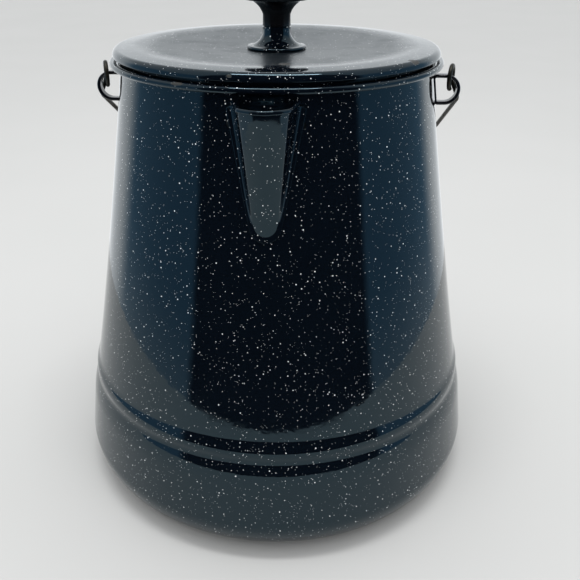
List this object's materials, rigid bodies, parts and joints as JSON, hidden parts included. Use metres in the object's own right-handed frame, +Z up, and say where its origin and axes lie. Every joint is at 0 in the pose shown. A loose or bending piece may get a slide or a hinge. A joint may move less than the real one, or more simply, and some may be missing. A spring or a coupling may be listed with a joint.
{
  "type": "coffee percolator",
  "caption": "Large conical enamelled camp coffee percolator with pressed beak spout, wire bail, lift-off lid with black knob, and pump, basket and spreader inside.",
  "frame": {"origin": "middle of the flat underside, on the pot's axis", "axes": "+Z up along the pot's axis, -Y towards the spout, +Y towards the tipping handle, +X to the right seen from in front of the spout"},
  "size_m": [0.2667, 0.2819, 0.305],
  "materials": {
    "enamel": "high-gloss speckled vitreous enamel on steel, dark blue-black with white specks",
    "ear_enamel": "gloss black enamel on steel strap",
    "wire": "dark drawn steel wire, dull",
    "grip_wood": "turned wood, black lacquer",
    "knob_black": "moulded black phenolic, gloss",
    "brass": "turned",
    "steel": "zinc plated",
    "aluminium": "satin spun aluminium"
  },
  "bodies": {
    "pot": {"body_wall": "enamel", "base_pan": "enamel", "spout": "enamel", "ear_left": "ear_enamel", "ear_right": "ear_enamel", "rear_handle": "enamel"},
    "bail": {"bail_wire": "wire"},
    "grip": {"bail_grip": "grip_wood"},
    "lid": {"lid": "enamel", "lid_skirt": "enamel", "knob_ferrule": "enamel", "knob": "knob_black", "knob_insert": "brass", "knob_screw": "steel", "knob_washer": "steel"},
    "spreader": {"basket_lid": "aluminium"},
    "basket": {"basket": "aluminium", "basket_sleeve": "aluminium"},
    "pump": {"pump_tube": "aluminium", "pump_foot": "aluminium", "basket_stop": "aluminium"}
  },
  "joints": [
    {"name": "bail_swing", "type": "hinge", "parent": "pot", "child": "bail", "pos_m": [0, 0, 0.2554], "axis": [1, 0, 0], "range_deg": [0, 243]},
    {"name": "grip_spin", "type": "hinge", "parent": "bail", "child": "grip", "pos_m": [0, 0.1176, 0.1757], "axis": [1, 0, 0], "continuous": true},
    {"name": "lid_lift", "type": "slide", "parent": "pot", "child": "lid", "axis": [0, 0, 1], "range_m": [0, 0.5]},
    {"name": "spreader_lift", "type": "slide", "parent": "pot", "child": "spreader", "axis": [0, 0, 1], "range_m": [0, 0.45]},
    {"name": "basket_lift", "type": "slide", "parent": "pot", "child": "basket", "axis": [0, 0, 1], "range_m": [0, 0.4]},
    {"name": "pump_lift", "type": "slide", "parent": "pot", "child": "pump", "axis": [0, 0, 1], "range_m": [0, 0.29]}
  ],
  "couplings": [
    {"joint": "spreader_lift", "follows": "lid_lift", "ratio": 0.88},
    {"joint": "basket_lift", "follows": "lid_lift", "ratio": 0.78},
    {"joint": "pump_lift", "follows": "lid_lift", "ratio": 0.56}
  ]
}
